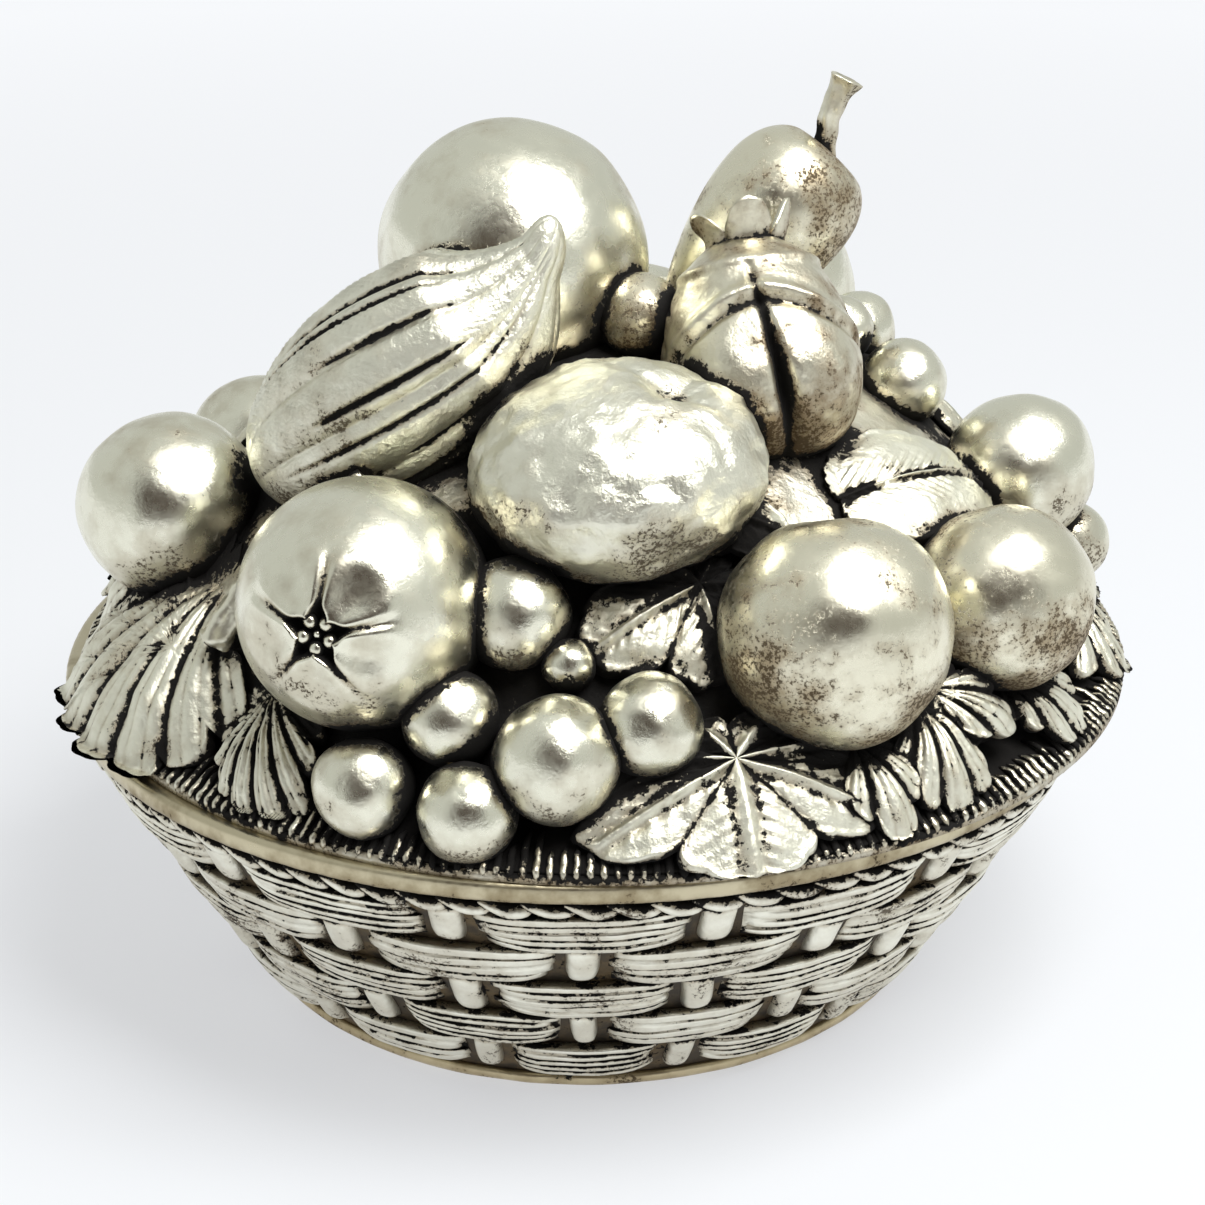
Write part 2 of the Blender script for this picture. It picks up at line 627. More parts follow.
mound_finish = plated("mound_silver", Silver=(0.66, 0.64, 0.54, 1), Fill=0.55, Specks=0.9, Staining=0.6,
                      Polish=0.42, Ripple=2.6)
cast("lid_plate_cast", on_lid(mound_shell()), "lid", "lid_silver", mound_finish, ["lid_plate"])

# ---- Ribbed border ----
# A sloping shoulder round the lid's edge with short ribs standing on it, black between them.
border_ribs = 290
border_finish = plated("border_silver", Silver=(0.83, 0.82, 0.69, 1), Fill=0.50, Specks=0.8, Staining=0.5,
                       Polish=0.34, Ripple=1.2)
bed_finish = plated("border_black", Silver=(0.30, 0.27, 0.21, 1), Fill=0.8, Specks=1.0, Staining=0.7, Polish=0.5)
bed_profile = [(mound_base_r - 2, lid_edge_t), (lid_r - 0.8, lid_edge_t), (lid_r - 0.7, lid_edge_t + 0.6),
               (mound_base_r, border_h - 0.6), (mound_base_r - 2, border_h - 0.4)]
cast("lid_border_bed", on_lid(turned_ring(bed_profile, 360)), "lid", "lid_silver", bed_finish, ["lid_border"])


def border_rib(rng):
    """One rib: up the lid's edge, then in over the shoulder."""
    size = rng.uniform(0.8, 1.15)
    end = rng.uniform(3, 8.2)
    knots = [(lid_r - 0.45, lid_edge_t - 0.7, 0.25), (lid_r - 0.45, lid_edge_t + 0.4, 0.5 * size),
             (lid_r - 1.7, lid_edge_t + 1.1, 0.5 * size),
             (lid_r - end * 0.6, lid_edge_t + 0.5 + end * 0.33, 0.4 * size),
             (lid_r - end, lid_edge_t + end * 0.42, 0.25)]
    path, radii = [], []
    for radius, height, fat in smooth_path(knots, 12):
        angle = front + rng.uniform(-0.0009, 0.0009)
        path.append(polar(radius, angle, height))
        radii.append(fat)
    return tube(path, radii, 8)


def lid_ring(name, shapes, *rest, **values):
    """A ring of copies, made about the lid's own axis and then moved to the lid's place."""
    piece = ring_of(name, shapes, *rest, **values)
    piece.data.transform(Matrix.Translation(lid_place * MM))
    return piece


lid_ring("lid_border_ribs", [border_rib(rng) for _ in range(6)], "lid", "lid_silver", border_finish, ["lid_border"],
         Count=border_ribs, Start=0.0, In_Turn=False, Warp=0.0006, Warp_Scale=240.0, Seed=11)

# ---- Lip ----
# The low ring under the lid that keeps it from sliding off. It stays as turned, in the plain inside finish.
lip = cad_nodes["lid_lip"]
lip.data.materials.clear()
lip.data.materials.append(inside_finish)

# ---- Round fruit ----
# Apples, peaches and plums, polished bright. None is quite round, and the front ones are stained brown.


def ball_of(node):
    """Middle and radius of the ball that most of a CAD node's points lie on, in millimetres."""
    data = cad_nodes[node].data
    points = np.array([v.co for v in data.vertices]) / MM
    keep = np.ones(len(points), bool)
    for limit in (4, 1.5, 0.5, 0.2, 0.1, 0.06):
        used = points[keep]
        table = np.column_stack([2 * used, np.ones(len(used))])
        answer = np.linalg.lstsq(table, (used ** 2).sum(1), rcond=None)[0]
        middle = answer[:3]
        radius = math.sqrt(answer[3] + middle @ middle)
        off = np.abs(np.linalg.norm(points - middle, axis=1) - radius)
        keep = off < max(limit, np.quantile(off, 0.3))
    return Vector(middle), radius


def cube_ball(count):
    """Points spread evenly over a ball of radius 1, and the faces between them."""
    points, faces, found = [], [], {}

    def corner(x, y, z):
        key = (x, y, z)
        if key not in found:
            found[key] = len(points)
            points.append(Vector([math.tan(math.pi / 4 * (2 * c / count - 1)) for c in key]).normalized())
        return found[key]
    for axis in range(3):
        for side in (0, count):
            for i in range(count):
                for j in range(count):
                    ring = []
                    for a, b in ((i, j), (i + 1, j), (i + 1, j + 1), (i, j + 1)):
                        spot = [a, b]
                        spot.insert(axis, side)
                        ring.append(corner(*spot))
                    faces.append(tuple(ring))
    return points, faces


round_forms = {count: cube_ball(count) for count in (20, 28, 40)}


def round_fruit(node, uneven, seed, dimple=None):
    """A ball that is a little out of round; dimple is the direction, width and depth of a stem hollow."""
    middle, radius = ball_of(node)
    count = 40 if radius > 12 else 28 if radius > 8 else 20
    unit_points, faces = round_forms[count]
    shift = Vector((seed * 3.7, seed * 1.9, seed * 7.3))
    points = []
    for p in unit_points:
        out = 1 + uneven * (noise.noise(p * 1.1 + shift) + 0.35 * noise.noise(p * 2.6 + shift))
        if dimple:
            way, wide, deep = dimple
            angle = p.angle(Vector(way))
            out -= deep / radius * math.exp(-(angle / wide) ** 2)
        points.append(middle + p * radius * out)
    return points, faces


fruit_finish = plated("fruit_silver", Silver=(0.84, 0.83, 0.69, 1), Fill=0.47, Specks=0.6, Staining=0.40,
                      Polish=0.25, Ripple=0.6)
speckled_finish = plated("speckled_silver", Silver=(0.82, 0.79, 0.63, 1), Fill=0.47, Specks=1.15, Staining=0.8,
                         Polish=0.27,
                         Ripple=0.4)
grape_finish = plated("grape_silver", Silver=(0.84, 0.83, 0.69, 1), Fill=0.50, Specks=0.75, Staining=0.40,
                      Polish=0.26, Ripple=0.8)
ROUND_FRUIT = [
    ("apple_back", 0.04, fruit_finish, None), ("apple_front", 0.05, speckled_finish, ((-0.1, 0.5, 0.8), 0.3, 0.8)),
    ("peach_right", 0.055, speckled_finish, None), ("plum_left", 0.045, fruit_finish, None),
    ("peach_back", 0.035, fruit_finish, None), ("plum_small", 0.04, speckled_finish, None),
    ("berry_right", 0.04, grape_finish, None), ("apple_rear", 0.03, speckled_finish, ((0.1, 0.3, 0.95), 0.4, 2.2)),
    ("quince_rear", 0.05, fruit_finish, ((-0.2, 0.4, 0.9), 0.35, 1.8)), ("orange_rear", 0.03, fruit_finish, None),
    ("peach_rear", 0.035, speckled_finish, None), ("plum_rear_left", 0.03, fruit_finish, None),
    ("plum_rear_right", 0.03, speckled_finish, None), ("plum_side_left", 0.03, fruit_finish, None)]
for seed, (node, uneven, finish, dimple) in enumerate(ROUND_FRUIT):
    cast(f"{node}_cast", round_fruit(node, uneven, seed, dimple), "lid", "fruit_silver", finish, [node])

# ---- Grapes ----
# Small polished balls in bunches at the front, the right and the back, each a little out of round.
grape_nodes = [f"grape_right_{i}" for i in (1, 2, 3)] + [f"grape_front_{i}" for i in range(1, 7)] + ["grape_stalk"]
for seed, node in enumerate(grape_nodes):
    cast(f"{node}_cast", round_fruit(node, 0.06, seed + 40), "lid", "fruit_silver", grape_finish, [node])

grape_r = 6.9
REAR_GRAPES = [(84, 64.5, 5.5), (94.3, 65, 5.5), (89, 58.5, 6), (99.2, 59.3, 5.5), (78.6, 58.1, 6.5), (94.5, 53, 6)]
rear = []
for seed, spot in enumerate(REAR_GRAPES):
    unit_points, faces = round_forms[20]
    shift = Vector((seed * 5.1, 3, seed))
    middle = over_mound(*spot)
    rear.append(([middle + p * grape_r * (1 + 0.035 * noise.noise(p * 1.2 + shift)) for p in unit_points], faces))
cast("grapes_rear_cast", on_lid(joined(rear)[:2]), "lid", "fruit_silver", grape_finish, ["grapes_rear"])

# ---- Orange ----
# A flattened fruit in the middle of the heap, its skin hammered all over, with a hollow where the stem was.
orange_d = 41.6
orange_h = 28
orange_mid = over_mound(-87.5, 33.1, 4.6)
orange_axis = Vector((-0.06, -0.1, 0.99)).normalized()
stem_spot = Vector((-4.5, 7, 0))


def swelling(s, low_power, high_power):
    """Fullness of a turned fruit along its length, 1 at its widest."""
    peak = low_power / (low_power + high_power)
    top = peak ** low_power * (1 - peak) ** high_power
    return max(0.0, s) ** low_power * max(0.0, 1 - s) ** high_power / top


def aimed(direction):
    """A turn that takes +Z to a direction."""
    d = Vector(direction).normalized()
    return Matrix.Rotation(math.atan2(d.y, d.x), 3, "Z") @ Matrix.Rotation(math.acos(d.z), 3, "Y")


def pole_faces(rings, steps):
    """The faces of a form with rings - 1 rows of points, then a point for its low end and one for its high end."""
    count, last = (rings - 1) * steps, (rings - 2) * steps
    faces = grid_faces(rings - 1, steps)
    faces += [((j + 1) % steps, j, count) for j in range(steps)]
    return faces + [(last + j, last + (j + 1) % steps, count + 1) for j in range(steps)]


def turned_fruit(start, end, radius, powers, form, rings=90, steps=120):
    """A fruit turned about the line from start to end.
    form(s, angle, radius, height) returns a new radius and height, and how black the point is."""
    length = (end - start).length
    turn = aimed(end - start)
    points, lines = [], []
    for i in range(1, rings):
        s = (1 - math.cos(math.pi * i / rings)) / 2
        for j in range(steps):
            angle = 2 * math.pi * j / steps
            r, h, line = form(s, angle, radius * swelling(s, *powers), length * s)
            points.append(start + turn @ polar(r, angle, h))
            lines.append(line)
    low, high = form(0.0, 0.0, 0.0, 0.0)[1], form(1.0, 0.0, 0.0, length)[1]
    points += [start + turn @ Vector((0, 0, low)), start + turn @ Vector((0, 0, high))]
    return points, pole_faces(rings, steps), lines + [lines[0], lines[-1]]


def facing(turn, direction):
    """The angle round a turned fruit at which its skin faces a direction."""
    local = turn.transposed() @ Vector(direction)
    return math.atan2(local.y, local.x)


def orange_form(s, angle, r, h):
    """Hammered skin, with faint spokes round the hollow at the stem."""
    p = polar(r, angle, h)
    skin = 1.0 * noise.noise(p / 6.5) + 0.55 * noise.noise(p / 2.8) + 0.16 * noise.noise(p / 1.1)
    if s < 0.5:
        return r + skin * min(1, r / 6), h, 0.0
    stem = (p - stem_spot) * Vector((1, 1, 0))
    away = stem.length
    hollow = 2.8 * math.exp(-(away / 3.6) ** 2) + 0.5 * math.exp(-(away / 9) ** 2)
    spokes = 0.6 * max(0.0, math.cos(4 * math.atan2(stem.y, stem.x))) ** 3 * math.exp(-((away - 5) / 3) ** 2)
    return r + skin * min(1, r / 6), h - hollow - spokes + 0.4 * skin, 0.75 * math.exp(-(away / 2.4) ** 2)


rough_finish = plated("rough_silver", Silver=(0.84, 0.83, 0.70, 1), Fill=0.48, Specks=0.8, Staining=0.4,
                      Polish=0.34, Ripple=2.2)
half = orange_axis * orange_h / 2
orange_shape = turned_fruit(orange_mid - half, orange_mid + half, orange_d / 2, (0.5, 0.5), orange_form)
cast("orange_centre_cast", on_lid(orange_shape), "lid", "rough_silver", rough_finish, ["orange_centre"])

# ---- Star-topped persimmon ----
# Five petals close over the end that faces the front, and part round a black hollow that holds five beads and a small
# one in their middle.
persimmon_d = 34.6
persimmon_h = 37
persimmon_mid = over_mound(-119.2, 50.2, 6.8)
persimmon_axis = Vector((-0.27, -0.95, 0.15)).normalized()
star_turn = facing(aimed(persimmon_axis), (0.1, 0.1, 1))


def persimmon_form(s, angle, r, h):
    """The petals are a little hollow, with sharp creases between them that run into the star."""
    if s < 0.5:
        return r, h, 0.0
    share = (angle - star_turn) / (2 * math.pi) * 5
    off = abs(share - round(share)) * 2
    side = off * math.pi / 5 * r
    wave = 0.25 * noise.noise(polar(1, angle, 0) * 1.3)
    edge = 12.0 - 2.2 * (1 - off) ** 2
    petal = 1 / (1 + math.exp(min(50, (r - edge) / 0.45)))
    crease = math.exp(-(side / (0.35 + 0.05 * r)) ** 2) * math.exp(-(r / 12.5) ** 6)
    dish = (0.9 + wave) * math.sin(math.pi / 2 * off) ** 2 * math.exp(-((r - 7) / 3.6) ** 2)
    star = 4.3 - 2.1 * off ** 0.8
    hole = 1 / (1 + math.exp(min(50, (r - star) / 0.2)))
    line = max(1.2 * crease ** 2 * math.exp(-(r / 9.5) ** 4), hole, 0.6 * crease ** 2)
    return r, h + 0.5 * petal - (0.9 * crease + 1.5 * dish) * petal - 2.3 * hole, line


half = persimmon_axis * persimmon_h / 2
persimmon_tip = persimmon_mid + half
persimmon_shape = turned_fruit(persimmon_mid - half, persimmon_tip, persimmon_d / 2, (0.5, 0.5), persimmon_form,
                               170, 200)
cast("persimmon_cast", on_lid(persimmon_shape), "lid", "fruit_silver", fruit_finish, ["persimmon"])
beads = []
bead_turn = aimed(persimmon_axis)
for k in range(6):
    angle = star_turn + 2 * math.pi * (k + 0.5) / 5
    away = polar(1.95, angle, 0) if k < 5 else Vector()
    size = 1.0 if k < 5 else 0.55
    unit_points, faces = round_forms[20]
    middle = persimmon_tip + bead_turn @ (away + Vector((0, 0, -1.5)))
    beads.append(([middle + p * size * (1 + 0.08 * noise.noise(p + Vector((k, 0, 0)))) for p in unit_points], faces))
cast("persimmon_seeds_cast", on_lid(joined(beads)[:2]), "lid", "fruit_silver", fruit_finish, ["persimmon_seeds"])

# ---- Striped fig ----
# A long fig with its tip curled up. Ribs and black splits fan out from the tip, and the skin is stippled.
fig_d = 29.8
fig_blunt = over_mound(-155.4, 42.5, 1.5)
fig_neck = over_mound(-99, 18.5, 22.3)
fig_tip = over_mound(-101.3, 17.6, 27)
fig_shoulder = over_mound(-98, 21.6, 12)


def fig_shape():
    """A tube along a line that bends up at the tip, as wide as the turned body and then the neck."""
    rings, steps = 150, 300
    line = fig_neck - fig_blunt
    turn = aimed(line)
    rng_splits = random.Random(5)
    splits = []
    for k in range(17):
        splits.append((2 * math.pi * (k + rng_splits.uniform(-0.25, 0.25)) / 17, rng_splits.uniform(0.12, 0.5),
                       rng_splits.uniform(0.66, 0.97), rng_splits.uniform(0.7, 1.4)))
    end = fig_tip - fig_neck
    points, lines = [], []
    for i in range(1, rings):
        s = (1 - math.cos(math.pi * i / rings)) / 2
        bend = max(0.0, (s - 0.72) / 0.28)
        middle = fig_blunt + line * s + end * bend ** 2.2
        body = fig_d / 2 * swelling(s, 0.5, 0.6) * (1 - 0.62 * bend ** 0.8)
        neck = 0.0
        if s > 0.6:
            neck = (5.2 - 2.5 * bend) * math.sqrt(1 - (max(0.0, s - 0.955) / 0.045) ** 2)
        radius = max(body, neck)
        calm = min(1, 5 * s) * min(1, 4 * (1.01 - s))
        for j in range(steps):
            angle = 2 * math.pi * j / steps
            twist = angle + 0.55 * (1 - s)
            rib = 1.25 * (abs(math.sin(5 * twist)) ** 0.6 - 0.7)
            cut = 0.0
            for split_angle, low_s, high_s, deep in splits:
                if low_s < s < high_s:
                    away = math.remainder(twist - split_angle, 2 * math.pi) * radius
                    fade = math.sin(math.pi * (s - low_s) / (high_s - low_s)) ** 0.5
                    cut = max(cut, deep * fade * math.exp(-(away / (0.22 + 0.26 * fade)) ** 2))
            dots = 0.2 * math.cos(70 * angle) * math.cos(2 * math.pi * s * line.length / 1.3) * (rib > 0.0)
            out = radius + (rib + dots) * calm - cut
            spot = middle + turn @ polar(out, angle, 0)
            flare = 3.4 * math.exp(-((spot - fig_shoulder).length / 8.5) ** 2)
            points.append(spot + (spot - middle).normalized() * flare)
            lines.append(min(1.0, 1.5 * cut))
    points += [fig_blunt, fig_tip]
    return points, pole_faces(rings, steps), lines + [0.0, 0.0]


fig_finish = plated("fig_silver", depth=0.0004, Silver=(0.83, 0.82, 0.69, 1), Fill=0.46, Specks=0.7,
                    Staining=0.35, Polish=0.36,
                    Ripple=1.8)
cast("striped_fig_cast", on_lid(fig_shape()), "lid", "tarnished_silver", fig_finish, ["striped_fig"])

# ---- Split pod ----
# A bell-shaped pod that has burst down the front into two lobes, under a crown of five stiff petals.
pod_d = 28.8
pod_base = over_mound(-50, 30.8, -3.8)
pod_top = over_mound(-34.8, 14.5, 18.5)
pod_finish = plated("pod_silver", Silver=(0.79, 0.76, 0.61, 1), Tarnish=(0.22, 0.15, 0.08, 1), Fill=0.42,
                    Specks=0.9, Staining=0.85,
                    Polish=0.32, Ripple=1.4)
crack_at = facing(aimed(pod_top - pod_base), (0.05, -1, 0.2))


def pod_form(s, angle, r, h):
    """Two lobes bulge low at the front, either side of the crack, and short strokes score the flank."""
    away = math.remainder(angle - crack_at - 0.35 * (0.6 - s), 2 * math.pi)
    low = math.exp(-((s - 0.30) / 0.24) ** 2)
    lobes = 1.5 * low * math.exp(-((abs(away) - 0.6) / 0.4) ** 2)
    width = 0.55 + 1.6 * max(0.0, 0.55 - s)
    split = math.exp(-(away * r / width) ** 2) * min(1, max(0.0, 0.84 - s) * 10)
    brow_at = 0.60 + 0.10 * math.cos(2.2 * away)
    brow = 1.1 * math.exp(-((s - brow_at) / 0.03) ** 2) * math.exp(-(away / 1.25) ** 4)
    ditch = math.exp(-((s - brow_at + 0.065) / 0.022) ** 2) * math.exp(-(away / 1.15) ** 4)
    rough = noise.noise(polar(3, angle, 7 * s))
    slant = math.sin(14 * (angle + 3.2 * s)) * (0.6 + rough)
    stroke = max(0.0, slant) ** 3 * min(1.0, max(0.0, abs(away) - 0.9) / 0.4) * (0.18 < s < 0.8)
    collar = 0.8 * math.exp(-((s - 0.84) / 0.03) ** 2) + 0.4 * rough
    out = r + lobes - (3.0 * low + 1.0) * split + brow - 0.8 * ditch - 0.7 * stroke + collar
    return max(0.0, out), h, min(1.0, 1.1 * split ** 2 + 0.75 * ditch + 1.3 * stroke)


pod_shape = turned_fruit(pod_base, pod_top, pod_d / 2, (0.35, 0.5), pod_form, 150, 180)
cast("split_pod_cast", on_lid(pod_shape), "lid", "tarnished_silver", pod_finish, ["split_pod"])


def crown_petal(turn, start, angle, rng):
    """One stiff petal: a tapering plate, cupped across, its tip bent outward."""
    wide, tall = rng.uniform(4.2, 5.2), rng.uniform(8.8, 11.0)
    rows, columns, thick = 16, 11, 1.1
    points = []
    for layer in (0, 1):
        for i in range(rows):
            s = i / (rows - 1)
            for j in range(columns):
                t = 2 * j / (columns - 1) - 1
                across = t * wide * (1 - 0.4 * s ** 2) * (1 - 0.8 * max(0.0, s - 0.75))
                out = (5.0 + 1.9 * s ** 2 + 0.7 * (1 - t * t) + 0.5 * math.sin(5 * s + angle)
                       - layer * thick * (1 - 0.4 * s))
                high = tall * s * (1 - 0.16 * t * t) + 0.4 * noise.noise(Vector((t * 2, s * 3, angle)))
                spin = angle + across / 6.2
                points.append(start + turn @ polar(out, spin, high))
    half_count = rows * columns
    faces = grid_faces(rows, columns, wrap=False)
    faces += [tuple(half_count + k for k in reversed(face)) for face in grid_faces(rows, columns, wrap=False)]
    border = [j for j in range(columns)] + [i * columns + columns - 1 for i in range(1, rows)]
    border += [(rows - 1) * columns + j for j in range(columns - 2, -1, -1)]
    border += [i * columns for i in range(rows - 2, 0, -1)]
    for a, b in zip(border, border[1:] + border[:1]):
        faces.append((b, a, half_count + a, half_count + b))
    return points, faces


rng = random.Random(7)
crown_turn = aimed(pod_top - pod_base)
crown_start = pod_top - (pod_top - pod_base) * 0.17
crown = [crown_petal(crown_turn, crown_start, 2 * math.pi * k / 5 + 0.49, rng) for k in range(5)]
cast("pod_crown_cast", on_lid(joined(crown)[:2]), "lid", "fruit_silver", pod_finish, ["pod_crown"])

# ---- Pears ----
# One stands up out of the heap with a bent stem that flares at its end, and one lies at the back.
pear_d = 23
pear_base = over_mound(18.4, 7.3, -5.4)
pear_end = over_mound(15.9, 19.6, 28.8)
rear_base = over_mound(73, 58, 7)
rear_end = over_mound(92, 37, 9)


def pear_form(s, angle, r, h):
    """A slightly uneven skin with a small dip round the stem."""
    uneven = 0.35 * noise.noise(polar(1, angle, 3 * s))
    return max(0.0, r + uneven * min(1, r / 4)), h - 0.5 * math.exp(-((1 - s) / 0.02) ** 2), 0.0


for name, ends, powers, finish in (("pear_top", (pear_base, pear_end), (0.8, 0.35), speckled_finish),
                                   ("pear_rear", (rear_base, rear_end), (0.45, 0.8), fruit_finish)):
    shape = turned_fruit(*ends, pear_d / 2, powers, pear_form)
    cast(f"{name}_cast", on_lid(shape), "lid", "fruit_silver", finish, [name])
stem_r = 1.8
# Bearing, tilt, lift, and how thick it is there
STEM = [(16.6, 19.3, 26, 1.15), (16.4, 18.9, 30, 0.95), (16.1, 18.5, 34, 0.9), (15.6, 18.6, 37.6, 1.05),
        (15.4, 18.7, 39.6, 1.5)]


def mound_knots(rows, radius):
    """Knots for a tube, from bearings, tilts, lifts and shares of its radius."""
    return [tuple(over_mound(bearing, tilt, lift)) + (radius * share,) for bearing, tilt, lift, share in rows]


def ribbed_tube(knots, steps, sides, ridges, rough):
    """A tube through knots of x, y, z and radius, with ridges along it and a cupped end."""
    path, radii = [], []
    for x, y, z, radius in smooth_path(knots, steps):
        path.append(Vector((x, y, z)))
        radii.append(radius)
    points, faces = tube(path, radii, sides, caps=False)
    out = []
    for i, p in enumerate(points):
        step, j = divmod(i, sides)
        away = p - path[step]
        swell = 1 + 0.1 * math.cos(ridges * 2 * math.pi * j / sides + step * 0.12) + rough * noise.noise(p / 1.6)
        out.append(path[step] + away * swell)
    last = (steps - 1) * sides
    ahead = (path[-1] - path[-2]).normalized()
    for share, lift in ((0.8, 0.15), (0.45, -0.45)):
        start = len(out)
        out += [path[-1] + (out[last + j] - path[-1]) * share + ahead * lift for j in range(sides)]
        previous = last if share == 0.8 else start - sides
        faces += [(previous + j, previous + (j + 1) % sides, start + (j + 1) % sides, start + j)
                  for j in range(sides)]
    faces.append(tuple(len(out) - sides + j for j in range(sides)))
    faces.append(tuple(range(sides - 1, -1, -1)))
    return out, faces


stem_finish = plated("stem_silver", Silver=(0.82, 0.80, 0.66, 1), Fill=0.48, Specks=0.7, Staining=0.5,
                     Polish=0.34, Ripple=1.2)
stem_shape = ribbed_tube(mound_knots(STEM, stem_r), 40, 28, 5, 0.12)
cast("pear_stem_cast", on_lid(stem_shape), "lid", "fruit_silver", stem_finish, ["pear_stem"])

# ---- Twig ----
# A rough bent twig that comes out from under the fig and ends, cut off, beside the persimmon.
twig_r = 1.8
TWIG = [(-130, 38, 5, 1), (-136.2, 44.2, 5, 0.95), (-138.3, 49.3, 4.8, 1.0), (-140, 56.8, 4.6, 1.3),
        (-140.5, 58.3, 4.6, 1.35)]
twig_shape = ribbed_tube(mound_knots(TWIG, twig_r), 60, 28, 4, 0.25)
cast("twig_left_cast", on_lid(twig_shape), "lid", "fruit_silver", stem_finish, ["twig_left"])

# ---- Leaves ----
# Lobed vine leaves lie round the lid's edge and between the fruit, cast with raised veins and toothed, rolled edges.
leaf_t = 1.4
leaf_clear = 1.4
# Name, bearing, tilt, lift, lean of the face, spin, length, width, lobes, curl radius, then for a leaf of fingers
# how many they are and which way they fan; a leaf with no fingers has lobes and branching veins instead.
LEAVES = [
    ("leaf_left", -154.5, 64.5, 7.5, 46, -60, 42, 46, 5, 36, 23, 82),
    ("leaf_left_behind", -166, 60, 5, 52, -40, 26, 26, 5, 30, 11, 0),
    ("leaf_left_fold", -127, 66.5, 4.6, 50, 30, 22, 18, 3, 16, 25, 0),
    ("leaf_centre", -83, 47.5, 2.3, 45, -60, 24, 23, 5, 26, 0, 0),
    ("leaf_small", -69, 40, 3.6, 40, 60, 15, 11, 3, 14, 0, 0),
    ("leaf_front", -76.5, 66.5, 6.5, 50, 0, 22, 42, 7, 40, 0, 0),
    ("leaf_fold_1", -61.5, 67.4, 6, 52, 10, 15, 12, 3, 12, 11, 0),
    ("leaf_fold_2", -53, 66, 5.4, 52, 0, 18, 16, 3, 14, 17, 0),
    ("leaf_fold_3", -46.5, 63, 5, 52, 50, 14, 10, 3, 12, 11, 0),
    ("leaf_fold_4", -34, 66, 5.2, 50, 40, 18, 13, 3, 14, 17, 0),
    ("leaf_right", -30.5, 41.3, 3.5, 34, 69, 32, 20, 1, 31, 0, 0)]
SIDE_LEAVES = [
    ("side_1", -12, 67, 5, 50, 0, 18, 24, 5, 20, 15, 0), ("side_2", 12, 66, 5, 52, 0, 26, 30, 5, 32, 0, 0),
    ("side_3", 38, 67, 5.5, 50, 10, 24, 34, 5, 36, 17, 0), ("side_4", 68, 66, 5, 50, -20, 26, 30, 5, 34, 0, 0),
    ("side_5", 133, 66, 6, 50, 0, 26, 40, 5, 38, 0, 0), ("side_6", 165, 66, 6, 50, 0, 26, 38, 5, 34, 15, 0),
    ("side_7", 86, 19, 1.4, 19, 10, 40, 34, 5, 60, 0, 0), ("side_8", 148, 42, 1.6, 42, -30, 42, 40, 5, 60, 0, 0),
    ("side_9", 25, 42, 1.6, 42, 40, 36, 34, 5, 60, 0, 0), ("side_10", 83, 62, 2, 60, 0, 34, 30, 5, 50, 0, 0)]


def settled(p, clear):
    """Keeps a point of a leaf above the mound, the border and the lid's underside."""
    middle = Vector((0, 0, mound_z))
    away = p - middle
    out = math.hypot(p.x, p.y)
    if out < mound_base_r + 3 and away.length < mound_r + clear:
        p = middle + away.normalized() * (mound_r + clear)
    if mound_base_r - 2 < out < lid_r + 1:
        share = (out - mound_base_r) / border_w
        p.z = max(p.z, border_h - share * (border_h - 2.0) + clear * 0.6)
    p.z = max(p.z, leaf_clear + clear * 0.6)
    return p


